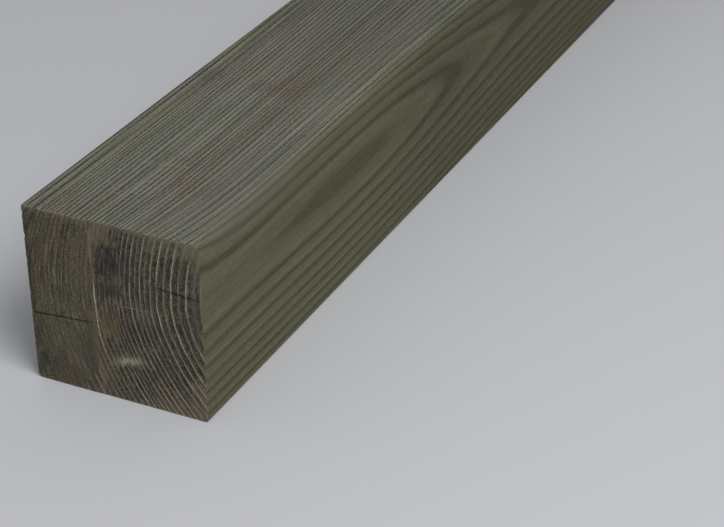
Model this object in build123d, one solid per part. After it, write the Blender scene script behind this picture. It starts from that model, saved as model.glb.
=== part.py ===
"""A square treated softwood beam, sawn to section and cross-cut at both ends.

Millimetres. The beam lies along Y on its bottom face, with the origin at the middle of
that face, and +Z up. The front end faces -Y, and +X is to the right of someone who
looks at that end. Heights are measured up from the bottom face.
"""
from build123d import *
import math
import os

# the stick of timber
LENGTH = 1800.0
WIDTH = 150.0
HEIGHT = 150.0

# rounding of the four long arrises, seen from the front end
ARRIS_TOP_LEFT = 1.5
ARRIS_TOP_RIGHT = 8.0
ARRIS_BOTTOM_RIGHT = 3.0
ARRIS_BOTTOM_LEFT = 5.0

# the wide drying check, which opens at the left face
LEFT_CHECK_HEIGHT = 58.5
LEFT_CHECK_DEPTH = 57.0
LEFT_CHECK_RISE = 4.5
LEFT_CHECK_MOUTH = 0.8
LEFT_CHECK_RUN = 160.0

# the hair check, which opens at the right face, measured down from the top face
RIGHT_CHECK_BELOW_TOP = 46.0
RIGHT_CHECK_DEPTH = 38.0
RIGHT_CHECK_RISE = 3.0
RIGHT_CHECK_MOUTH = 0.5
RIGHT_CHECK_RUN = 90.0

# how the walls of a check close and wander
CHECK_TIP_SHARE = 0.3
CHECK_WANDER = 0.6
CHECK_STATIONS = 5
CHECK_CLOSING_ANGLE = 76.0
CUT_CLEARANCE = 1.0

FRONT = -LENGTH / 2


def sawn_stick():
    """The section, with its own radius at each arris, carried straight along the length."""
    section = Rectangle(WIDTH, HEIGHT, align=(Align.CENTER, Align.MIN))
    radii = {
        (-1, 1): ARRIS_TOP_LEFT,
        (1, 1): ARRIS_TOP_RIGHT,
        (1, -1): ARRIS_BOTTOM_RIGHT,
        (-1, -1): ARRIS_BOTTOM_LEFT,
    }
    for (side, level), radius in radii.items():
        corner = Vector(side * WIDTH / 2, HEIGHT if level > 0 else 0)
        nearest = section.vertices().sort_by_distance(corner)[0]
        section = fillet(nearest, radius)
    end_plane = Plane((0, FRONT, 0), x_dir=(1, 0, 0), z_dir=(0, -1, 0))
    return extrude(end_plane * section, -LENGTH)


def check_outline(mouth, depth, rise, share):
    """One cross-section of a check: two walls that narrow from its mouth to its blunt tip.

    The outline starts outside the face at x = 0 and runs to x = depth. Its middle line
    climbs by rise and wanders a little to each side, as a split along the rays does.
    """
    half_mouth = mouth * share / 2
    half_tip = half_mouth * CHECK_TIP_SHARE
    reach = depth * share
    wander = CHECK_WANDER * share
    middle = [
        (-CUT_CLEARANCE, 0, half_mouth),
        (reach * 0.3, rise * 0.3 - wander, half_mouth * 0.85),
        (reach * 0.65, rise * 0.65 + wander, half_mouth * 0.6),
        (reach, rise, half_tip),
    ]
    upper = [(x, z + half) for x, z, half in middle]
    lower = [(x, z - half) for x, z, half in reversed(middle)]
    return make_face(Polyline(*upper, *lower, close=True))


def drying_check(face_x, inwards, height, mouth, depth, rise, run):
    """A tapered split, cut from the front end, that closes along an ellipse.

    inwards is 1 where the split runs towards +X and -1 where it runs towards -X. The
    stations stand at even angles round the ellipse, up to the closing angle, where the
    split is thin enough to end.
    """
    stations = []
    for station in range(CHECK_STATIONS + 1):
        angle = math.radians(CHECK_CLOSING_ANGLE * station / CHECK_STATIONS)
        travel = math.sin(angle) * run
        outline = check_outline(mouth, depth, rise, math.cos(angle))
        if inwards < 0:
            outline = mirror(outline, about=Plane.YZ)
        plane = Plane((face_x, FRONT + travel, height), x_dir=(1, 0, 0), z_dir=(0, -1, 0))
        stations.append(plane * outline)
    lead_in = extrude(stations[0], CUT_CLEARANCE)
    return loft(stations, ruled=True) + lead_in


def beam():
    left_check = drying_check(
        -WIDTH / 2,
        1,
        LEFT_CHECK_HEIGHT,
        LEFT_CHECK_MOUTH,
        LEFT_CHECK_DEPTH,
        LEFT_CHECK_RISE,
        LEFT_CHECK_RUN,
    )
    right_check = drying_check(
        WIDTH / 2,
        -1,
        HEIGHT - RIGHT_CHECK_BELOW_TOP,
        RIGHT_CHECK_MOUTH,
        RIGHT_CHECK_DEPTH,
        RIGHT_CHECK_RISE,
        RIGHT_CHECK_RUN,
    )
    return sawn_stick() - left_check - right_check


os.makedirs("parts", exist_ok=True)
export_step(beam(), "parts/beam.step")
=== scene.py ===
"""The finish of a square, sawn, pressure-treated softwood beam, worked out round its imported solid.

Lengths are metres, and a value times MM is in millimetres. The beam lies along Y on its
bottom face. The front end faces -Y, and +X is to the right of someone who looks at it.
On the faces, x runs from the left face, y from the front end and z from the floor.
"""
import math
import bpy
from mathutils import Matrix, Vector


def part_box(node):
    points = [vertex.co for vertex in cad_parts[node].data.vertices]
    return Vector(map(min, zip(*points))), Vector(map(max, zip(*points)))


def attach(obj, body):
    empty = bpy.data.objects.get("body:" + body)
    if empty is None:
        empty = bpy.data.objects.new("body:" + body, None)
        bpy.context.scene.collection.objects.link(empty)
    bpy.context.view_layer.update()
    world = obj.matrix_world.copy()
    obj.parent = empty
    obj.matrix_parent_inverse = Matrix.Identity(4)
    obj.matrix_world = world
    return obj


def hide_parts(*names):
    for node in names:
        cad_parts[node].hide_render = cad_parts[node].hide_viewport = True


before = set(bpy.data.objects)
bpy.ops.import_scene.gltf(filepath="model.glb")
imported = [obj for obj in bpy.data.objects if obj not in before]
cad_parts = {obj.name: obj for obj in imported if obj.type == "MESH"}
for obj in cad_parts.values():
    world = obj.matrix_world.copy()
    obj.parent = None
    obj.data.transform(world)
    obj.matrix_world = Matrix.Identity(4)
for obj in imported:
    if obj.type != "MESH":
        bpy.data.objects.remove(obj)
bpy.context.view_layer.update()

from types import SimpleNamespace
import bpy
import numpy as np
from mathutils import Matrix, Vector

MM = 0.001

LOW, HIGH = (np.array(corner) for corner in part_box("beam"))
WIDTH, LENGTH, HEIGHT = HIGH - LOW
FRONT, BACK = LOW[1], HIGH[1]


# Growth rings, in millimetres

# each ring stands upright at this height, which climbs a little towards the right
APEX_HEIGHT = 85.0
APEX_CLIMB = 0.09
# above that height a ring bends away to the right by the square of its rise
UPPER_BEND = (0.0050, -0.0054, 0.0031)
# below it the ring bends away along a hyperbola, whose slope and roundness these are
LOWER_SLOPE = (0.23, 0.35, 0)
LOWER_ROUND = 49.0
# a stretch of a ring is about this many times as long as it rises
ARC_PER_RISE = 1.1
# places where rings stand upright, each with the width of the rings there
RING_WIDTHS = (
    (-18, 4.7), (-11, 9.1), (-3, 9.0), (4, 3.9), (8, 3.4), (14, 4.0), (22, 4.4), (33, 5.4),
    (45, 4.1), (57, 4.2), (65, 4.7), (74, 2.8), (84, 4.4), (91, 4.4), (100, 4.0), (112, 5.9),
    (136, 6.5), (150, 5.4),
)
# rings are counted between these places, at this step, and ring 0 stands here
COUNT_FROM, COUNT_TO = -80, 260
COUNT_STEP = 0.1
RING_ZERO = 58.1
# near the top the grain leans to the right over a short stretch behind the front end, by this
# much at the left and by this much more at the right
LEAN_LEAST = 1.0
LEAN_MORE = 10.0
LEAN_LEFT, LEAN_RIGHT = 25, 145
LEAN_STRETCH = 70.0
LEAN_FROM_HEIGHT = 95.0
# slow and quick wander of the rings along the beam, each by the place across
SLOW_WANDER = (5.8, 19.5, -21.3)
SLOW_LENGTH = 1900.0
QUICK_WANDER = (-1.0, -2.3, 3.7)
QUICK_LENGTH = 600.0
# from here on the rings also drift to one side and swing about that drift
FAR_FROM = 520.0
FAR_DRIFT = -7.0
FAR_SWING = 2.2
FAR_LENGTH = 430.0


def smooth_step(low, high, value):
    """0 below low, 1 above high, and a smooth cubic between."""
    share = np.clip((value - low) / (high - low), 0, 1)
    return share * share * (3 - 2 * share)


def ring_count(place):
    """Rings counted from left to right up to a place: the sum of 1 / width."""
    fine = np.arange(COUNT_FROM, COUNT_TO, COUNT_STEP)
    width = np.interp(fine, *zip(*RING_WIDTHS))
    count = np.cumsum(COUNT_STEP / width)
    return np.interp(place, fine, count) - np.interp(RING_ZERO, fine, count)


def by_place(terms, across):
    """A constant, a slope and a square term, worked out for a distance across in 100 mm."""
    share = across / 100
    return terms[0] + terms[1] * share + terms[2] * share ** 2


def growth(points):
    """Ring count, length along the ring and length along the beam, for points in metres.

    The pith lies outside the section on the right, so every ring stands upright at one
    height and bends away to the right above and below it. A point's place is where its ring
    stands upright: the distance across less that bend. The ring count follows from the place.
    Further back along the beam, the distance across is first moved by the grain's lean, by
    its two wanders, each a cosine wave, and by its drift and swing.
    """
    x, y, z = ((points - LOW) / MM).T
    high = np.clip((z - LEAN_FROM_HEIGHT) / (HEIGHT / MM - LEAN_FROM_HEIGHT), 0, 1) ** 2
    lean = LEAN_LEAST + LEAN_MORE * smooth_step(LEAN_LEFT, LEAN_RIGHT, x)
    across = x - lean * high * np.tanh(y / LEAN_STRETCH)
    for wander, length in ((SLOW_WANDER, SLOW_LENGTH), (QUICK_WANDER, QUICK_LENGTH)):
        across += by_place(wander, x) * (1 - np.cos(2 * np.pi * y / length)) / 2
    across += FAR_DRIFT * smooth_step(FAR_FROM, LENGTH / MM, y)
    across += FAR_SWING * smooth_step(FAR_FROM, FAR_FROM * 2, y) * np.sin(2 * np.pi * y / FAR_LENGTH)
    up = z - APEX_HEIGHT - APEX_CLIMB * across
    upper = by_place(UPPER_BEND, across) * up ** 2
    lower = by_place(LOWER_SLOPE, across) * (np.hypot(up, LOWER_ROUND) - LOWER_ROUND)
    place = across - np.where(up > 0, upper, lower)
    return np.column_stack([ring_count(place), up * ARC_PER_RISE, y])


# Surface

STEPS = 150          # grid steps across each side of the section
STATIONS = 89        # grid steps along the beam
EVEN_SHARE = 0.2     # of the length is laid out evenly, and the rest by a cube
END_BREAK = 0.6 * MM
SHARP_FROM = 35      # degrees between two faces from which their edge is sharp
# arris radii from the bottom left, anticlockwise seen from the front
ARRISES = (5.0 * MM, 3.0 * MM, 8.0 * MM, 1.5 * MM)

CHECKS = (
    # side, height at the mouth, depth, rise to the tip, mouth, run along the beam
    dict(side=-1, height=58.5 * MM, depth=57 * MM, rise=4.5 * MM, mouth=0.8 * MM, run=160 * MM),
    dict(side=1, height=104 * MM, depth=38 * MM, rise=3 * MM, mouth=0.5 * MM, run=90 * MM),
)
CHECK_WANDER = 0.6 * MM
ROW_STEP = 1.0 * MM   # about the width of a grid row
LEAST_ROW = 0.1       # share of that which a row keeps at least
CHECK_REACH = 6       # grid rows on each side that make room for a check
FADE_ROWS = 25        # rows beyond those over which the move fades out
# shares of a check's run and of its depth from which the rows lie evenly again
FACE_EVEN_FROM = 1.25
END_EVEN_FROM = 1.3
# share of the width next to the far side over which a check moves the end's rows less
FAR_SIDE_REST = 0.12

# wear of the front end, in millimetres
# heights of the nicks in its left edge, their half heights and depths
NICKS = ((143.0, 1.4, 1.0), (124.0, 1.7, 1.0), (104.0, 1.0, 0.4), (75.0, 1.2, 0.8), (33.0, 1.4, 0.5))
EDGE_REACH = 5.0
# its ragged rim
RAGGED_DEPTH = 0.25
RAGGED_REACH = 4.0
# its top right corner is worn back
WORN_REACH = 15.0
WORN_DEPTH = 2.6
WORN_LENGTH = 14.0

# relief of the long faces: the sunk ring lines, their spread as a share of a ring, and wear
LINE_DEPTH = 0.04 * MM
LINE_SPREAD = 0.17
FACE_WEAR = 0.08 * MM
# relief of the ends in millimetres: how deep the cut is where it is sawn and where it is torn,
# how far its hard rings stand up, their spread as a share of a ring, and its roughness
SAWN_DEPTH = 0.08
TORN_DEPTH = 0.45
RIDGE_RISE = 0.35
RIDGE_SPREAD = 0.12
ROUGH_DEPTH = 0.05
# the saw's step on the front end, from x to x, and how torn the back end is
SAW_STEP = (56.5, 58.5)
BACK_TORN = 0.4

# parts of the square map, as shares of it
MAP_GAP = 0.004
MAP_FACES = 0.62
MAP_ENDS_FROM = 0.636
MAP_ENDS = 0.36


def waves(seed, count, longest, shortest, *coordinates):
    """Smooth noise of about unit size: a sum of cosine waves in random directions."""
    draw = np.random.default_rng(seed)
    full_turn = 6.283
    total = 0
    for _ in range(count):
        length = shortest * (longest / shortest) ** draw.random()
        way = draw.normal(size=len(coordinates))
        way *= 2 * np.pi / length / np.linalg.norm(way)
        phase = draw.random() * full_turn
        total = total + np.cos(sum(w * c for w, c in zip(way, coordinates)) + phase)
    return total * (2 / count) ** 0.5


def side_profile(first, last, length):
    """Points of one side between the middles of its arrises, as (along, inset) columns.

    Half an arc of radius first, a straight line, then half an arc of radius last, at
    even steps of length along the path.
    """
    arc_a, arc_b = first * np.pi / 4, last * np.pi / 4
    straight = length - first - last
    path = np.linspace(0, arc_a + straight + arc_b, STEPS + 1)
    turn_a = np.pi / 4 + np.clip(path, 0, arc_a) / first
    turn_b = np.pi / 4 + np.clip(path[-1] - path, 0, arc_b) / last
    on_line = first + np.clip(path - arc_a, 0, straight)
    along = np.where(path < arc_a, first * (1 - np.cos(turn_a)), on_line)
    along = np.where(path > arc_a + straight, length - last * (1 - np.cos(turn_b)), along)
    inset = np.where(path < arc_a, first * (1 - np.sin(turn_a)), 0)
    inset = np.where(path > arc_a + straight, last * (1 - np.sin(turn_b)), inset)
    return along, inset


def section_outline():
    """The outline of the section, anticlockwise from the bottom left, as x and z columns."""
    a, b, c, d = ARRISES
    along, inset = side_profile(a, b, WIDTH)
    bottom = np.column_stack([LOW[0] + along, LOW[2] + inset])
    along, inset = side_profile(b, c, HEIGHT)
    right = np.column_stack([HIGH[0] - inset, LOW[2] + along])
    along, inset = side_profile(c, d, WIDTH)
    top = np.column_stack([HIGH[0] - along, HIGH[2] - inset])
    along, inset = side_profile(d, a, HEIGHT)
    left = np.column_stack([LOW[0] + inset, HIGH[2] - along])
    return np.concatenate([side[:-1] for side in (bottom, right, top, left)])


def outward(outline):
    """Unit normals of a closed outline, a quarter turn from its chords."""
    chord = np.roll(outline, -1, 0) - np.roll(outline, 1, 0)
    normal = np.column_stack([chord[:, 1], -chord[:, 0]])
    return normal / np.linalg.norm(normal, axis=1, keepdims=True)


def filled(outline):
    """A grid over the inside of an outline: the blend of its four sides less its corners."""
    n = STEPS
    bottom, right = outline[0:n + 1], outline[n:2 * n + 1]
    top, left = outline[2 * n:3 * n + 1][::-1], np.vstack([outline[3 * n:], outline[:1]])[::-1]
    u = np.linspace(0, 1, n + 1)[:, None, None]
    v = np.linspace(0, 1, n + 1)[None, :, None]
    across = (1 - v) * bottom[:, None] + v * top[:, None]
    up = (1 - u) * left[None] + u * right[None]
    corners = (1 - u) * (1 - v) * outline[0] + u * (1 - v) * outline[n]
    corners = corners + u * v * outline[2 * n] + (1 - u) * v * outline[3 * n]
    return across + up - corners


def split_line(check, inwards):
    """Height of a check's middle line at a distance in from its face.

    It climbs evenly from the mouth to the tip, plus one sine wave that grows on the way.
    """
    share = np.clip(inwards / check["depth"], 0, 1)
    return check["height"] + check["rise"] * share + CHECK_WANDER * np.sin(2 * np.pi * share) * share


def part_rows(height, row, middle, half):
    """Moves rows of points up or down to make room for a check.

    Row 0 runs on middle, and rows 1 and -1 lie half to each side of it. The rows up to
    CHECK_REACH are spread evenly from there, and the move fades out over FADE_ROWS more.
    """
    near = np.clip(np.abs(row), 0, CHECK_REACH)
    spread = (half + (near - 1) * (CHECK_REACH * ROW_STEP - half) / (CHECK_REACH - 1)) * (near > 0)
    parted = middle + np.sign(row) * np.maximum(spread, near * LEAST_ROW * ROW_STEP)
    outside = np.abs(row) - CHECK_REACH
    fade = 1 - smooth_step(0, FADE_ROWS, outside)
    centre = height - row * ROW_STEP
    beyond = height + (middle - centre) * fade
    return np.where(outside > 0, beyond, parted)


def open_rows(height, row, line, half, closed):
    """Parts rows round a check's line, and lets them lie evenly again where it is closed."""
    middle = line * (1 - closed) + height[:, row == 0] * closed
    return part_rows(height, row, middle, half * (1 - closed) + ROW_STEP * closed)


def sink(points, check, turn, is_open):
    """Moves the open points of a check's middle row down to its bottom.

    The bottom is a quarter of an ellipse. At a turn it lies depth times the turn's cosine in
    from the face, and run times its sine behind the front end.
    """
    deep = check["depth"] * np.cos(turn)
    x = check["side"] * (WIDTH / 2 - deep)
    y = FRONT + check["run"] * np.sin(turn)
    bottom = np.column_stack([x, y, split_line(check, deep)])
    return np.where(is_open[:, None], bottom, points)


def make_beam():
    """The whole skin as one closed grid: rings of points along the beam and two ends.

    A ring holds 4 * STEPS points. Rings 0 and -1 are the rims of the two end grids, set in
    by the broken edge, and the others stand at stations that lie closer near the front: an
    even share of the length, and the cube of that share for the rest. Where the rings and
    the front grid meet a check, its middle row is sunk to the bottom of the check.
    """
    n = STEPS
    outline = section_outline()
    normal = outward(outline)
    share = np.linspace(0, 1, STATIONS + 1)
    station = EVEN_SHARE * share + (1 - EVEN_SHARE) * share ** 3
    first, last = FRONT + END_BREAK, BACK - END_BREAK
    along = np.concatenate([[FRONT], first + (last - first) * station, [BACK]])
    rings = np.empty((len(along), 4 * n, 3))
    rings[..., 0] = outline[:, 0]
    rings[..., 1] = along[:, None]
    rings[..., 2] = outline[:, 1]
    normals = np.zeros_like(rings)
    normals[..., 0], normals[..., 2] = normal[:, 0], normal[:, 1]
    ends = {}
    for name, rim in (("front", 0), ("back", -1)):
        rings[rim][:, [0, 2]] -= normal * END_BREAK
        grid = filled(rings[rim][:, [0, 2]])
        ends[name] = np.stack([grid[..., 0], np.full((n + 1, n + 1), along[rim]), grid[..., 1]], -1)

    split = np.zeros(rings.shape[:2])
    front_split = np.zeros((n + 1, n + 1))
    column = np.arange(n + 1)
    for check in CHECKS:
        left = check["side"] < 0
        rows = (4 * n - column) % (4 * n) if left else n + column
        face = rings[:, rows]
        centre = int(np.argmin(np.abs(face[1, :, 2] - check["height"])))
        row = column - centre

        # past is 0 at the front end and 1 where the check has run out along its face
        past = (face[:, :1, 1] - FRONT) / check["run"]
        half = check["mouth"] / 2 * np.sqrt(1 - np.clip(past, 0, 1) ** 2)
        closed = smooth_step(1.0, FACE_EVEN_FROM, past)
        face[..., 2] = open_rows(face[..., 2], row, check["height"], half, closed)
        past = past[:, 0]
        turn = np.pi / 4 * (1 + np.clip(past, 0, 1))
        face[:, centre] = sink(face[:, centre], check, turn, past < 1)
        rings[:, rows] = face
        split[:, rows[centre]] = past < 1

        # here past is 0 at the face and 1 at the check's tip on the end
        grid = ends["front"]
        inwards = (grid[..., 0] - LOW[0]) if left else (HIGH[0] - grid[..., 0])
        inwards = inwards[:, [centre]]
        past = inwards / check["depth"]
        half = check["mouth"] / 2 * np.clip(1 - past, 0, 1) ** 0.5
        closed = smooth_step(1.0, END_EVEN_FROM, past)
        opened = open_rows(grid[..., 2], row, split_line(check, inwards), half, closed)
        settle = smooth_step(0, FAR_SIDE_REST, 1 - inwards / WIDTH)
        grid[..., 2] += (opened - grid[..., 2]) * settle
        past = past[:, 0]
        turn = np.pi / 4 * np.clip(1 - past, 0, 1)
        grid[:, centre] = sink(grid[:, centre], check, turn, past < 1)
        front_split[:, centre] = past < 1

    return rings, normals, ends, split, front_split


def edge_ring(grid):
    """The rim of an end grid in the same order as a ring of the long faces."""
    return np.concatenate([grid[:-1, 0], grid[-1, :-1], grid[:0:-1, -1], grid[0, :0:-1]])


def fading(distance, reach):
    """1 on an edge and 0 from a distance of reach onwards: the square of what is left."""
    return np.clip(1 - distance / reach, 0, 1) ** 2


def worn_edges(points, split):
    """Wears the front end's edges: nicks on the left, a worn corner and a ragged rim.

    Each is a smooth dent that is deepest on the edge and fades out a few millimetres from
    it, so that neighbouring points keep their order.
    """
    x, y, z = np.moveaxis((points - LOW) / MM, -1, 0)
    wide, tall = WIDTH / MM, HEIGHT / MM
    near_end = fading(y, EDGE_REACH)
    dent = sum(deep * np.exp(-((z - height) / half) ** 2) for height, half, deep in NICKS)
    x_move = dent * near_end * fading(x, EDGE_REACH)
    ragged = np.clip(0.5 + 0.6 * waves(11, 30, 9, 2.5, x, z), 0, 1) * RAGGED_DEPTH * near_end
    x_move += ragged * (fading(x, RAGGED_REACH) - fading(wide - x, RAGGED_REACH))
    z_move = -ragged * fading(tall - z, RAGGED_REACH)
    off_corner = np.hypot(wide - x, tall - z)
    worn = WORN_DEPTH * np.clip(1 - off_corner / WORN_REACH, 0, 1) ** 1.3
    y_move = worn * np.clip(1 - y / WORN_LENGTH, 0, 1)
    moves = np.stack([x_move, y_move, z_move], -1) * MM
    return points + moves * (1 - split)[..., None]


def from_line(rings):
    """How far a ring count is from its nearest ring line. Takes an array or a Wire."""
    return abs((rings + 0.5) % 1 - 0.5)


def long_relief(points, normals, split):
    """Sinks the long faces a little along each ring line, and wears them unevenly.

    A ring line is a bell curve across, LINE_SPREAD of a ring wide.
    """
    flat = points.reshape(-1, 3)
    count = growth(flat)[:, 0].reshape(points.shape[:2])
    groove = np.exp(-(from_line(count) / LINE_SPREAD) ** 2)
    x, y, z = flat.T
    uneven = waves(3, 14, 300 * MM, 30 * MM, x, y * 0.4, z).reshape(groove.shape)
    depth = LINE_DEPTH * groove + FACE_WEAR * (1 + 0.5 * uneven)
    return points - normals * (np.clip(depth, 0, None) * (1 - split))[..., None]


def end_relief(grid, split, sign):
    """Sinks an end by its saw marks. Right of the saw's step the hard rings stand up.

    sign is -1 at the front end and 1 at the back one, whose cut is partly torn all over.
    """
    flat = grid.reshape(-1, 3)
    count = growth(flat)[:, 0].reshape(grid.shape[:2])
    x, _, z = np.moveaxis((grid - LOW) / MM, -1, 0)
    torn = smooth_step(*SAW_STEP, x) if sign < 0 else np.full_like(x, BACK_TORN)
    ridge = np.exp(-(from_line(count) / RIDGE_SPREAD) ** 2)
    rough = waves(5, 30, 40, 4, x, z)
    depth = SAWN_DEPTH + torn * (TORN_DEPTH - RIDGE_RISE * ridge)
    depth = depth + ROUGH_DEPTH * (1 + torn) * (1 + rough / 2)
    moved = grid.copy()
    moved[..., 1] -= sign * np.clip(depth, 0, None) * MM * (1 - split)
    return moved


def map_corners(along):
    """Corners of every face on a square map, in the order of the faces.

    The long faces are four upright strips side by side, and the ends lie above them.
    """
    n, gap = STEPS, MAP_GAP
    side, step = np.divmod(np.arange(4 * n), n)
    left = side / 4 + gap + step / n * (0.25 - 2 * gap)
    right = left + (0.25 - 2 * gap) / n
    level = gap + MAP_FACES * (along - along[0]) / (along[-1] - along[0])
    low, high = level[:-1], level[1:]
    shape = (len(along) - 1, 4 * n)
    u = np.stack([np.broadcast_to(edge, shape) for edge in (left, right, right, left)], -1)
    v = np.stack([np.broadcast_to(row[:, None], shape) for row in (low, low, high, high)], -1)
    corners = [np.stack([u, v], -1).reshape(-1, 4, 2)]
    i, j = np.meshgrid(np.arange(n), np.arange(n), indexing="ij")
    front_order = ((0, 0), (1, 0), (1, 1), (0, 1))
    back_order = ((0, 0), (0, 1), (1, 1), (1, 0))
    for start, order in ((gap, front_order), (0.5 + gap, back_order)):
        u = np.stack([start + (i + a) / n * (0.5 - 2 * gap) for a, _ in order], -1)
        v = np.stack([MAP_ENDS_FROM + (j + b) / n * MAP_ENDS for _, b in order], -1)
        corners.append(np.stack([u, v], -1).reshape(-1, 4, 2))
    return np.concatenate(corners)


def joined(rings, ends):
    """Points and quads of one closed skin, and the point numbers of its rings and two ends.

    The rim of an end grid has no points of its own. It uses those of ring 0 or ring -1.
    """
    n = STEPS
    count = len(rings)
    ring_index = np.arange(count * 4 * n).reshape(count, 4 * n)
    points = [rings.reshape(-1, 3)]
    end_index = []
    used = count * 4 * n
    for name, rim in (("front", 0), ("back", -1)):
        index = np.zeros((n + 1, n + 1), int)
        border = ring_index[rim]
        index[:n, 0], index[n, :n] = border[:n], border[n:2 * n]
        index[n:0:-1, n], index[0, n:0:-1] = border[2 * n:3 * n], border[3 * n:]
        index[1:-1, 1:-1] = used + np.arange((n - 1) ** 2).reshape(n - 1, n - 1)
        used += (n - 1) ** 2
        points.append(ends[name][1:-1, 1:-1].reshape(-1, 3))
        end_index.append(index)
    f, b = end_index
    near, far = ring_index[:-1], ring_index[1:]
    quads = (
        (near, np.roll(near, -1, 1), np.roll(far, -1, 1), far),
        (f[:-1, :-1], f[1:, :-1], f[1:, 1:], f[:-1, 1:]),
        (b[:-1, :-1], b[:-1, 1:], b[1:, 1:], b[1:, :-1]),
    )
    faces = np.concatenate([np.stack(corners, -1).reshape(-1, 4) for corners in quads])
    return np.concatenate(points), faces, ring_index, f, b


def beam_piece():
    """One closed mesh of the beam, with its growth field and its masks on the points."""
    rings, normals, ends, split, front_split = make_beam()
    along = rings[:, STEPS // 2, 1].copy()
    ends["front"] = worn_edges(end_relief(ends["front"], front_split, -1), front_split)
    ends["back"] = end_relief(ends["back"], np.zeros_like(front_split), 1)
    body = worn_edges(long_relief(rings[1:-1], normals[1:-1], split[1:-1]), split[1:-1])
    rings = np.concatenate([edge_ring(ends["front"])[None], body, edge_ring(ends["back"])[None]])
    points, faces, ring_index, front_index, back_index = joined(rings, ends)

    mesh = bpy.data.meshes.new("beam_skin")
    mesh.from_pydata(points.tolist(), [], faces.tolist())
    mesh.polygons.foreach_set("use_smooth", np.ones(len(faces), bool))
    mesh.set_sharp_from_angle(angle=math.radians(SHARP_FROM))
    mesh.uv_layers.new(name="OFBake").data.foreach_set("uv", map_corners(along).ravel())

    cut = np.zeros(len(points))
    cut[front_index.ravel()] = 1
    cut[back_index.ravel()] = 1
    # 1 at the bottoms of the checks: the mask that paints shade inside them
    check_shade = np.zeros(len(points))
    check_shade[ring_index.ravel()] = split.ravel()
    check_shade[front_index.ravel()] = np.maximum(check_shade[front_index.ravel()], front_split.ravel())
    for name, kind, values in (
        ("growth", "FLOAT_VECTOR", growth(points)),
        ("cut", "FLOAT", cut),
        ("check", "FLOAT", check_shade),
    ):
        layer = mesh.attributes.new(name, kind, "POINT")
        layer.data.foreach_set("vector" if kind == "FLOAT_VECTOR" else "value", values.ravel())

    piece = bpy.data.objects.new("treated_timber_beam", mesh)
    bpy.context.collection.objects.link(piece)
    return piece


# Shading

class Wire:
    """An output socket that Python's operators carry on: a * b adds a Math node."""

    def __init__(self, paint, socket):
        self.paint, self.socket = paint, socket

    def _math(self, operation, *terms):
        return self.paint.node("ShaderNodeMath", {"operation": operation}, dict(enumerate(terms)))

    def __add__(self, other):
        return self._math("ADD", self, other)

    def __sub__(self, other):
        return self._math("SUBTRACT", self, other)

    def __rsub__(self, other):
        return self._math("SUBTRACT", other, self)

    def __mul__(self, other):
        return self._math("MULTIPLY", self, other)

    def __truediv__(self, other):
        return self._math("DIVIDE", self, other)

    def __abs__(self):
        return self._math("ABSOLUTE", self)

    def __mod__(self, other):
        return self._math("FLOORED_MODULO", self, other)

    __radd__, __rmul__ = __add__, __mul__

    def floor(self):
        """The whole number below."""
        return self._math("FLOOR", self)

    def above(self, low, high):
        """0 up to low, 1 from high, a smooth cubic between. With low over high it falls instead."""
        settings = {"interpolation_type": "SMOOTHSTEP"}
        return self.paint.node("ShaderNodeMapRange", settings, {0: self, 1: low, 2: high, 3: 0, 4: 1})

    def at_most(self, other):
        """The smaller of the two."""
        return self._math("MINIMUM", self, other)

    def at_least(self, other):
        """The larger of the two."""
        return self._math("MAXIMUM", self, other)


class Paint:
    """A material's nodes."""

    def __init__(self, name):
        self.material = bpy.data.materials.new(name)
        self.material.use_nodes = True
        self.tree = self.material.node_tree
        self.tree.nodes.clear()

    def node(self, kind, settings=None, sockets=None, out=0):
        """Adds any node: its type, its settings first, then the values or links of its sockets."""
        made = self.tree.nodes.new(kind)
        for name, value in (settings or {}).items():
            setattr(made, name, value)
        for name, value in (sockets or {}).items():
            if isinstance(value, Wire):
                self.tree.links.new(value.socket, made.inputs[name])
            elif isinstance(value, tuple) and made.inputs[name].type == "RGBA":
                made.inputs[name].default_value = (*value, 1)
            else:
                made.inputs[name].default_value = value
        return Wire(self, made.outputs[out]) if made.outputs else None

    def parts(self, vector):
        """The three numbers of a vector."""
        outputs = self.node("ShaderNodeSeparateXYZ", None, {0: vector}).socket.node.outputs
        return [Wire(self, socket) for socket in outputs]

    def scaled(self, vector, x, y, z):
        """A vector with each of its numbers multiplied by its own factor."""
        return self.node("ShaderNodeVectorMath", {"operation": "MULTIPLY"}, {0: vector, 1: (x, y, z)})

    def noise(self, vector, size, detail=2.0, roughness=0.5):
        """Noise from 0 to 1, mostly near 0.5, with its largest lumps about size long."""
        sockets = {"Vector": vector, "Scale": 1 / size, "Detail": detail, "Roughness": roughness}
        return self.node("ShaderNodeTexNoise", None, sockets)

    def chance(self, rings):
        """A number drawn from 0 to 1 for each ring line, the same for all that lies nearest it."""
        settings = {"noise_dimensions": "1D"}
        return self.node("ShaderNodeTexWhiteNoise", settings, {"W": (rings + 0.5).floor()})

    def mix(self, share, first, second):
        """A colour between first and second."""
        return self.node("ShaderNodeMix", {"data_type": "RGBA"}, {0: share, 6: first, 7: second}, out=2)

    def layered(self, colour, *layers):
        """The colour with each layer laid over it in turn, given as its share and its tone."""
        for share, shade in layers:
            colour = self.mix(share, colour, tone(*shade))
        return colour


def tone(red, green, blue):
    """A display colour of 0 to 255 as the linear one that a shader takes."""
    share = np.array([red, green, blue]) / 255
    return tuple(np.where(share < 0.04045, share / 12.92, ((share + 0.055) / 1.055) ** 2.4).tolist())


def blot(edge, u, v, centre, reach, ragged=1.0):
    """A soft oval mark: 1 in its middle and 0 past its edge, which a noise makes uneven."""
    across, up = (u - centre[0]) / reach[0], (v - centre[1]) / reach[1]
    return (across * across + up * up + (edge - 0.5) * ragged * 2).above(1.25, 0.25)


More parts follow.
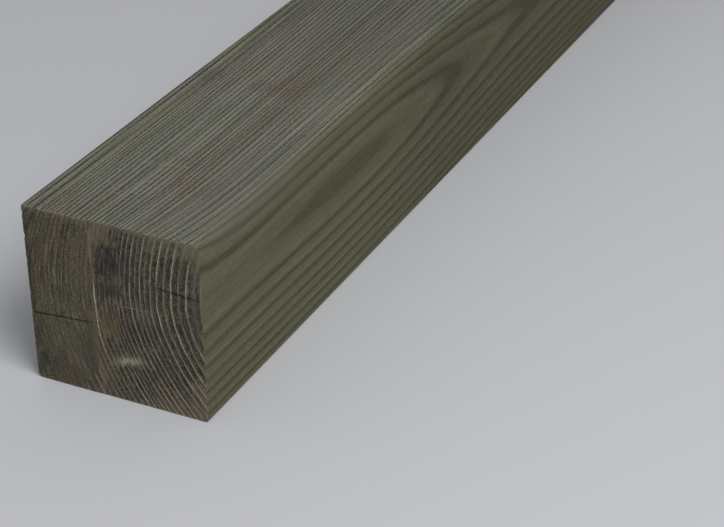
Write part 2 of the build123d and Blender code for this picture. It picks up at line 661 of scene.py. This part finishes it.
def streak(u, v, start, end, width, fade):
    """A straight mark from start to end that fades out at its sides and ends."""
    run, rise = end[0] - start[0], end[1] - start[1]
    length = math.hypot(run, rise)
    along = ((u - start[0]) * run + (v - start[1]) * rise) / length
    aside = abs((u - start[0]) * rise - (v - start[1]) * run) / length
    return aside.above(width, width * 0.3) * along.above(0, fade) * along.above(length, length - fade)


# Placed marks and lines, in millimetres

# marks of the top: x, y, half width, half length, colour, share
TOP_MARKS = (
    (91, 264, 22, 30, (104, 80, 64), 0.5),
    (93, 318, 11, 34, (108, 88, 70), 0.4),
    (64, 252, 13, 13, (78, 72, 64), 0.5),
    (12, 256, 16, 14, (72, 72, 70), 0.55),
    (95, 390, 9, 40, (104, 90, 76), 0.4),
    (106, 75, 26, 18, (100, 84, 70), 0.45),
    (62, 112, 26, 14, (98, 86, 74), 0.3),
    (12, 184, 10, 22, (108, 107, 62), 0.55),
    (4, 330, 8, 60, (104, 106, 70), 0.4),
    (49, 230, 10, 30, (128, 124, 132), 0.45),
    (36, 350, 14, 50, (118, 116, 122), 0.35),
    (68, 60, 9, 16, (124, 128, 124), 0.4),
    (128, 26, 16, 14, (112, 110, 84), 0.4),
    (62, 165, 16, 80, (134, 134, 120), 0.25),
    (36, 22, 40, 30, (86, 86, 70), 0.3),
    (97, 200, 13, 100, (84, 80, 68), 0.25),
    # painted shadow: this dark mark over the far right of the top, towards the back
    (116, 340, 18, 90, (82, 80, 66), 0.4),
)

# marks of the front end: x, z, half width, half height, colour, share
END_MARKS = (
    (70, 119, 13, 22, (56, 50, 54), 0.6),
    (73, 122, 7, 9, (34, 32, 40), 0.7),
    (64, 110, 5, 9, (38, 34, 42), 0.6),
    (87, 122, 8, 20, (40, 42, 40), 0.5),
    (66, 92, 9, 7, (42, 38, 42), 0.65),
    (76, 94, 6, 7, (50, 48, 50), 0.5),
    (65, 142, 13, 10, (116, 104, 88), 0.6),
    (70, 101, 9, 5, (92, 74, 64), 0.4),
    (70, 75, 12, 13, (84, 64, 50), 0.55),
    (74, 61, 7, 7, (94, 84, 60), 0.55),
    (66, 60, 6, 12, (96, 82, 66), 0.4),
    (6, 15, 11, 11, (42, 46, 50), 0.6),
    (27, 15, 12, 14, (76, 62, 50), 0.45),
    (53, 30, 6, 20, (64, 56, 58), 0.5),
    (40, 45, 14, 10, (74, 76, 56), 0.35),
    (90, 48, 8, 5, (96, 82, 78), 0.4),
    (91, 17, 7, 7, (46, 38, 34), 0.5),
    (126, 14, 26, 12, (96, 84, 76), 0.3),
    (100, 62, 14, 12, (44, 48, 50), 0.45),
    (146, 3, 10, 5, (112, 82, 70), 0.5),
    (145, 85, 5, 30, (88, 84, 78), 0.45),
    (60, 44, 7, 44, (118, 104, 78), 0.35),
    (64, 18, 9, 15, (116, 110, 92), 0.25),
    (60, 134, 4, 14, (120, 108, 90), 0.35),
    (60, 95, 5, 9, (62, 56, 48), 0.55),
    (2, 140, 10, 14, (54, 54, 40), 0.4),
    # painted shade: this dark strip down the left edge of the front end, where the arris faces away
    # from the light
    (0, 90, 6, 70, (44, 44, 32), 0.7),
    (10, 116, 7, 12, (58, 58, 44), 0.4),
    (4, 38, 8, 40, (48, 48, 38), 0.35),
    (10, 56, 9, 10, (56, 56, 44), 0.4),
    (54, 54, 8, 16, (60, 54, 44), 0.35),
    (94, 27, 7, 5, (56, 62, 40), 0.45),
    (88, 60, 10, 22, (40, 38, 34), 0.4),
    (145, 20, 8, 18, (134, 119, 98), 0.45),
    (146, 128, 6, 20, (120, 112, 92), 0.35),
    (122, 141, 28, 7, (126, 119, 98), 0.35),
    (86, 38, 16, 6, (132, 124, 104), 0.3),
    (98, 82, 9, 8, (112, 100, 86), 0.35),
    (78, 142, 5, 6, (54, 50, 44), 0.4),
)


# a pale scuff across the top, as x and y at its start and its end
TOP_SCUFF = ((38, 96), (88, 103))
# the same across the front end, as x and z
END_SCUFF = ((80, 83), (137, 87))
# a ledge of torn fibres on the front end and its brightest part
LEDGE = ((64, 30), (101, 42))
LEDGE_BRIGHT = ((74, 34), (95, 38.5))
# how the two checks run on the front end, where dark lines of painted shade follow them
END_CHECKS = (((1, 58.5), (57, 63)), ((110, 107), (149, 104)))
# rings whose late wood stands out whitest on the front end, counted from the saw's step
WHITE_RINGS = (8, 10, 12, 13, 15, 17)


def sawn_faces(paint, at):
    """The colour of the long faces: thin dark ring lines, with finer streaks between them.

    The lines stand out less on the right face, on the left face and on a worn stretch of the
    top behind its right front corner.
    """
    side = at.x.above(141, 149)
    left = at.x.above(3, 0.5) * at.z.above(149.5, 147)
    worn = at.x.above(98, 112) * at.y.above(190, 120) * at.y.above(4, 30) * at.z.above(130, 140)
    top = at.z.above(120, 140)
    calm = 1 - side * 0.7 - left * 0.4 - worn * 0.35
    wobble = paint.noise(paint.scaled(at.field, 4.5, 1, 0.02), 9) - 0.5
    rings = at.rings + wobble * 0.2 + side * 0.5
    off_line = from_line(rings)
    own = paint.chance(rings)
    streaks = paint.noise(paint.scaled(at.field, 4.5, 1, 0.006), 1.4, 2, 0.6)
    hairs = paint.noise(paint.scaled(at.field, 4.5, 1, 0.008), 0.7, 1, 0.5)
    cloud = paint.noise(paint.scaled(at.place, 1, 0.3, 1), 45, 3, 0.6)
    flecks = paint.noise(paint.scaled(at.place, 1, 0.35, 1), 4, 3, 0.7)
    slow = paint.noise(paint.scaled(at.field, 2, 0.5, 0.02), 2.5)

    # the ground: clouds and flecks, a greener right face, a darker strip along the left, and painted
    # shadow that deepens from 240 mm to 430 mm behind the front end and covers the rest of the beam
    darker_left_and_back_shadow = at.x.above(24, 4) * 0.08 + at.y.above(240, 430) * 0.3
    colour = paint.mix(cloud.above(0.4, 0.6), tone(102, 107, 91), tone(110, 103, 91))
    colour = paint.layered(
        colour,
        (flecks.above(0.5, 0.64) * 0.5, (118, 109, 122)),
        (flecks.above(0.5, 0.36) * 0.5, (108, 110, 70)),
        (side * 0.9, (90, 87, 62)),
        (slow.above(0.5, 0.75) * calm * 0.12, (134, 132, 124)),
        # painted shadow over the back of the beam, and the darker strip along the left
        (darker_left_and_back_shadow, (40, 40, 30)),
        (at.x.above(44, 12) * 0.3 * calm, (90, 97, 74)),
    )
    for x, y, wide, long, shade, share in TOP_MARKS:
        mark = blot(at.along, at.x, at.y, (x, y), (wide, long), 1.7) * top
        colour = paint.layered(colour, (mark * share, shade))

    # the grain: pale and dark streaks, a faint line and a soft dark band in each ring, then
    # the ring line itself, and over all of it the finest hairs and the mottle
    shine = abs(rings % 1 - 0.28).above(0.18, 0.05) * (0.35 + 0.65 * streaks.above(0.42, 0.58))
    second = abs(rings % 1 - 0.6).above(0.13, 0.04)
    second = second * (0.7 - own * 0.35) * streaks.above(0.66, 0.36) * calm * 0.75
    calmer = 1 - at.x.above(84, 124) * 0.35
    band = off_line.above(0.4, 0.1) * calmer * (0.28 + side * 0.14)
    strength = (0.84 + 0.2 * own) * (0.8 + 0.25 * streaks.above(0.66, 0.36)) * calmer
    strength = strength * (1 - side * 0.5 - left * 0.55 - worn * 0.32)
    scuff = streak(at.x, at.y, *TOP_SCUFF, 1.3, 8) * top * at.specks
    return paint.layered(
        colour,
        (worn * 0.5, (104, 99, 93)),
        (shine * calm * 0.32, (146, 144, 132)),
        (streaks.above(0.52, 0.68) * calm * 0.1, (146, 144, 132)),
        (streaks.above(0.48, 0.32) * calm * 0.25, (56, 54, 43)),
        (second, (46, 44, 34)),
        (band, (40, 38, 26)),
        (off_line.above(0.18, 0.07) * strength, (16, 15, 10)),
        (hairs.above(0.5, 0.38) * calm * 0.3, (42, 40, 31)),
        (hairs.above(0.52, 0.64) * calm * 0.18, (158, 156, 144)),
        (at.mottle.above(0.5, 0.66) * calm * 0.34, (150, 148, 136)),
        (at.mottle.above(0.48, 0.34) * calm * 0.4, (56, 54, 43)),
        (scuff * 0.35, (160, 158, 148)),
    )


def smooth_cut(paint, at):
    """An end left of the saw's step, cut clean: soft upright bands that keep to the rings.

    Its ribs and ring lines show most high up, except in a quiet patch beside the saw's step.
    """
    bands = paint.noise(paint.scaled(at.field, 1.5, 0.012, 0), 1, 2, 0.6)
    fine = paint.noise(paint.scaled(at.field, 4.5, 0.05, 0), 1, 3, 0.65)
    ribs = paint.noise(paint.scaled(at.field, 4.5, 0.012, 0), 2.4, 2, 0.6)
    patches = paint.noise(at.place, 22, 2, 0.6)
    high = at.z.above(50, 100)
    quiet = 1 - at.x.above(38, 44) * at.z.above(80, 90) * at.z.above(136, 126) * at.front * 0.5
    return paint.layered(
        paint.mix(patches.above(0.4, 0.6), tone(92, 84, 69), tone(86, 83, 68)),
        (bands.above(0.5, 0.64) * 0.5, (106, 90, 66)),
        (bands.above(0.5, 0.36) * 0.5, (74, 76, 62)),
        (ribs.above(0.5, 0.62) * (0.15 + 0.4 * high) * quiet, (108, 86, 60)),
        (ribs.above(0.5, 0.38) * (0.2 + 0.5 * high) * quiet, (50, 52, 40)),
        (fine.above(0.5, 0.36) * quiet * 0.6, (42, 40, 32)),
        (fine.above(0.52, 0.64) * quiet * 0.5, (138, 127, 110)),
        (at.off_line.above(0.22, 0.05) * high * quiet * 0.6, (40, 40, 28)),
        (at.mottle.above(0.5, 0.66) * 0.4, (128, 120, 107)),
        (at.mottle.above(0.48, 0.34) * 0.5, (42, 40, 32)),
        (at.z.above(60, 30) * 0.25, (66, 64, 52)),
    )


def rough_cut(paint, at):
    """An end right of the saw's step, torn: dark, patchy browns, darkest between the lines."""
    fine = paint.noise(paint.scaled(at.field, 7, 0.1, 0), 1, 3, 0.65)
    grain = paint.noise(paint.scaled(at.field, 4.5, 0.15, 0), 3, 2, 0.6)
    fibres = paint.noise(paint.scaled(at.place, 1, 1, 0.12), 1.6, 2, 0.6)
    patches = paint.noise(at.place, 16, 2, 0.6)
    low = at.z.above(52, 36) * at.x.above(84, 100)
    dark = at.phase.above(0.06, 0.42) * at.phase.above(1.0, 0.72) * (1 + low * 0.25)
    streaky = at.x.above(88, 78) * at.z.above(36, 56) * 0.35
    loose = at.x.above(90, 80) * at.z.above(40, 60)
    return paint.layered(
        paint.mix(patches.above(0.38, 0.62), tone(88, 75, 60), tone(75, 77, 67)),
        (grain.above(0.5, 0.68) * 0.6, (92, 90, 66)),
        (grain.above(0.5, 0.32) * 0.6, (86, 66, 62)),
        (dark * 0.72, (36, 33, 27)),
        (fine.above(0.5, 0.66) * (0.55 + streaky), (126, 117, 98)),
        (fine.above(0.48, 0.32) * (0.6 + streaky), (30, 27, 24)),
        (fibres.above(0.52, 0.64) * loose * 0.35, (122, 112, 98)),
        (fibres.above(0.48, 0.36) * loose * 0.5, (28, 25, 25)),
        (at.mottle.above(0.5, 0.66) * 0.5, (114, 109, 94)),
        (at.mottle.above(0.46, 0.32) * 0.55, (32, 29, 26)),
        (at.z.above(20, 2) * (0.08 + 0.2 * at.x.above(90, 120)), (140, 128, 106)),
    )


def ring_threads(paint, at):
    """How much of the whitish late wood shows: thin lines that fade, bead and break."""
    own = paint.chance(at.ring) * 0.38 + 0.12 + at.z.above(60, 30) * 0.2
    for ring in WHITE_RINGS:
        own = own + abs(at.ring - ring).above(0.5, 0.4) * 0.28
    slow = paint.noise(paint.scaled(at.field, 1.7, 0.035, 0), 1).above(0.32, 0.6)
    beads = paint.noise(paint.scaled(at.field, 3, 0.7, 0), 1, 2, 0.6).above(0.34, 0.62)
    core = at.off_line.above(0.085, 0.02) * (0.15 + 0.95 * beads)
    halo = at.off_line.above(0.26, 0.06) * 0.08
    return (core + halo) * (0.25 + 0.75 * slow) * own.at_most(1)


def torn_ledge(paint, at, colour):
    """A ledge of torn fibres low on the front end: pale teeth, brightest in its middle."""
    shreds = paint.noise(paint.scaled(at.place, 1, 1, 0.3), 1.5, 2, 0.6).above(0.42, 0.58)
    teeth = paint.noise(paint.scaled(at.field, 5, 0.1, 0), 1, 2, 0.6).above(0.4, 0.58)
    ragged = at.z + (teeth - 0.5) * 3 + (at.upright - 0.5) * 5
    tear = streak(at.x, ragged, *LEDGE, 4.4, 12) * at.front
    bright = streak(at.x, ragged, *LEDGE_BRIGHT, 3.4, 8) * at.front
    return paint.layered(
        colour,
        (tear * (0.25 + 0.5 * teeth), (132, 122, 104)),
        (bright * (0.15 + 0.5 * teeth + 0.25 * shreds), (172, 173, 156)),
    )


def thread_share(paint, at, torn, corner, rim):
    """Where the white threads show: on the torn cut, and less on stains, corner and rim."""
    clear = at.x.above(76, 90).at_least(at.z.above(42, 24))
    clear = clear.at_least(at.z.above(98, 92) * at.z.above(58, 70) * 0.6)
    stained = blot(at.upright, at.x, at.z, (70, 114), (14, 28), 1.6) * at.front
    low = at.x.above(84, 94) * at.x.above(138, 122) * at.z.above(30, 20) * at.front
    threads = ring_threads(paint, at) * torn * (0.4 + 0.6 * clear)
    threads = threads * (1 - corner) * (1 - rim * 0.7) * (1 - stained * 0.8) * (1 + low * 0.9)
    return threads * (1 - at.x.above(138, 145) * at.z.above(50, 70) * 0.75 * at.front)


def sawn_ends(paint, at):
    """The colour of the ends: smooth left of the saw's step and torn right of it, then marks.

    Everything that is placed shows at the front only. The back end is partly torn all over.
    """
    torn = (at.x + (at.upright - 0.5) * 3 + at.z.above(26, 4) * 14).above(56, 59)
    torn = at.front * torn + (1 - at.front) * 0.45
    streaky = paint.noise(paint.scaled(at.field, 6, 0.06, 0), 1, 2, 0.6).above(0.34, 0.6)
    colour = paint.mix(torn, smooth_cut(paint, at), rough_cut(paint, at))
    for x, z, wide, high, shade, share in END_MARKS:
        mark = blot(at.upright, at.x, at.z, (x, z), (wide, high), 3.0) * at.front
        colour = paint.layered(colour, (mark * share * (0.45 + 0.55 * streaky), shade))
    colour = torn_ledge(paint, at, colour)

    # the worn top right corner is painted pale: partly the worn wood, partly painted highlight where
    # the worn face turns up to the light
    corner = blot(at.uneven, at.x, at.z, (150, 150), (17, 17), 0.8) * at.front
    rim = (at.z + (at.uneven - 0.5) * 5).above(144, 148.5) * at.front
    white = paint.mix(at.z.above(50, 15), tone(198, 201, 186), tone(188, 177, 154))
    colour = paint.mix(thread_share(paint, at, torn, corner, rim), colour, white)

    # the first white line stands on the saw's step and leaves its ring below
    shift = at.z.above(84, 44) * at.z.above(8, 26) * 0.92
    first = abs(at.ring + shift).above(0.17, 0.04)
    first = first * at.z.above(20, 66) * at.z.above(100, 96) * at.x.above(40, 50) * at.front
    # higher up the step itself shows as a pale edge
    step = at.x.above(56, 57) * at.x.above(60, 58.5) * at.z.above(94, 100) * at.z.above(144, 134)
    step = step * at.front * at.upright.above(0.3, 0.55)
    scuff = streak(at.x, at.z, *END_SCUFF, 1.0, 8) * at.specks * at.front
    # painted shade: dark lines along the two checks on the front end
    crack_shades = [streak(at.x, at.z, *line, 1.3, 6) for line in END_CHECKS]
    inset = at.x.at_most(WIDTH / MM - at.x).at_most(at.z.at_most(HEIGHT / MM - at.z))
    return paint.layered(
        colour,
        (first * (0.4 + 0.6 * at.specks), (178, 172, 150)),
        (step * 0.6, (120, 108, 90)),
        (scuff * 0.55, (128, 116, 108)),
        *((crack_shade * (0.35 + 0.65 * at.specks) * at.front * 0.85, (22, 19, 16)) for crack_shade in crack_shades),
        (rim * (0.3 + 0.35 * at.x.above(80, 100)), (112, 107, 86)),
        # the worn corner: partly worn wood, partly painted highlight
        (corner * 0.6, (104, 101, 84)),
        (inset.above(2.2, 0.4) * at.specks * 0.5, (134, 130, 112)),
    )


def timber_finish():
    """Treated softwood: dull, olive and grey-brown, with its rings drawn from the growth field.

    What its finishes share stands in one list: place, x, y and z in millimetres, the ring
    counts with the distance to their lines, the front half as a mask, and noises.
    """
    paint = Paint("treated_softwood")
    place = paint.scaled(paint.node("ShaderNodeTexCoord", out=3), 1 / MM, 1 / MM, 1 / MM)
    x, y, z = paint.parts(place)
    field = paint.node("ShaderNodeAttribute", {"attribute_name": "growth"}, out=1)
    rings = paint.parts(field)[0]
    cut = paint.node("ShaderNodeAttribute", {"attribute_name": "cut"}, out=2)
    check = paint.node("ShaderNodeAttribute", {"attribute_name": "check"}, out=2)
    ring = rings + (paint.noise(place, 9) - 0.5) * 0.25
    at = SimpleNamespace(
        place=place,
        x=x + WIDTH / MM / 2,
        y=y + LENGTH / MM / 2,
        z=z,
        field=field,
        rings=rings,
        ring=ring,
        phase=ring % 1,
        off_line=from_line(ring),
        front=y.above(1, -1),
        uneven=paint.noise(place, 9, 3, 0.65),
        upright=paint.noise(paint.scaled(place, 1, 1, 0.3), 5, 3, 0.65),
        along=paint.noise(paint.scaled(place, 1, 0.1, 1), 3.5, 3, 0.65),
        mottle=paint.noise(place, 2.0, 3, 0.7),
        specks=paint.noise(place, 1.6, 2, 0.6).above(0.44, 0.62),
    )
    # cut is between 0 and 1 only in the faces that break the edges of the ends
    edge = cut * (1 - cut) * 4
    colour = paint.layered(
        paint.mix(cut, sawn_faces(paint, at), sawn_ends(paint, at)),
        (edge * at.specks * 0.5, (134, 132, 114)),
        # painted shade inside the checks, darkest at their bottoms
        (check, (16, 14, 12)),
    )
    fibres = paint.noise(paint.scaled(place, 1, 0.02, 1), 0.9, 3, 0.6)
    height = fibres * (1 - cut) + at.mottle * cut
    bump = paint.node("ShaderNodeBump", None, {"Strength": 0.35, "Distance": 0.0005, "Height": height})
    finish = {"Base Color": colour, "Roughness": 0.85, "Specular IOR Level": 0.2, "Normal": bump}
    shader = paint.node("ShaderNodeBsdfPrincipled", None, finish)
    paint.node("ShaderNodeOutputMaterial", None, {"Surface": shader})
    return paint.material


# Stage

# metres, watts, the lens and the sensor in millimetres, and angles in degrees
FLOOR_HALF = 15.0
LAMP_PLACE = (1.9, -1.8, 2.7)
LAMP_TARGET = (0, -0.7, 0)
LAMP_SIZE = 1.7
LAMP_WATTS = 86
WORLD_STRENGTH = 0.42
CAMERA_PLACE = (0.7223, -1.9485, 0.8453)
CAMERA_LENS = 99.9
CAMERA_SENSOR = 36.0
CAMERA_SIGHT = 100
# turn about the upright axis, tilt up from looking straight down, and roll
CAMERA_ANGLES = (26.336, 90 - 30.066, -0.68)


def floor():
    """A plain pale floor, far larger than the beam."""
    paint = Paint("pale_floor")
    finish = {"Base Color": tone(192, 193, 196), "Roughness": 0.6, "Specular IOR Level": 0.2}
    shader = paint.node("ShaderNodeBsdfPrincipled", None, finish)
    paint.node("ShaderNodeOutputMaterial", None, {"Surface": shader})
    mesh = bpy.data.meshes.new("floor")
    corners = [(x * FLOOR_HALF, y * FLOOR_HALF, 0) for x, y in ((-1, -1), (1, -1), (1, 1), (-1, 1))]
    mesh.from_pydata(corners, [], [(0, 1, 2, 3)])
    mesh.materials.append(paint.material)
    piece = bpy.data.objects.new("floor", mesh)
    bpy.context.collection.objects.link(piece)


def lights():
    """A large soft lamp, high on the right and in front, and an even pale world."""
    world = bpy.data.worlds.new("studio")
    bpy.context.scene.world = world
    world.use_nodes = True
    background = world.node_tree.nodes["Background"]
    background.inputs["Color"].default_value = (0.95, 0.97, 1.0, 1)
    background.inputs["Strength"].default_value = WORLD_STRENGTH
    lamp = bpy.data.lights.new("overhead", "AREA")
    lamp.shape, lamp.size, lamp.size_y = "RECTANGLE", LAMP_SIZE, LAMP_SIZE
    lamp.energy = LAMP_WATTS
    holder = bpy.data.objects.new("overhead", lamp)
    holder.location = LAMP_PLACE
    towards = Vector(LAMP_TARGET) - holder.location
    holder.rotation_euler = towards.to_track_quat("-Z", "Y").to_euler()
    bpy.context.collection.objects.link(holder)


def camera():
    """The camera at the photograph's viewing angle, just right of the front end and above."""
    view = bpy.data.cameras.new("camera")
    view.lens, view.sensor_width = CAMERA_LENS, CAMERA_SENSOR
    view.clip_end = CAMERA_SIGHT
    turn, tilt, roll = (math.radians(angle) for angle in CAMERA_ANGLES)
    pose = Matrix.Rotation(turn, 4, "Z") @ Matrix.Rotation(tilt, 4, "X") @ Matrix.Rotation(roll, 4, "Z")
    holder = bpy.data.objects.new("camera", view)
    holder.matrix_world = Matrix.Translation(CAMERA_PLACE) @ pose
    bpy.context.collection.objects.link(holder)
    bpy.context.scene.camera = holder


beam = beam_piece()
beam.data.materials.append(timber_finish())
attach(beam, "root")
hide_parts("beam")
floor()
lights()
camera()
bpy.context.scene.view_settings.view_transform = "Standard"
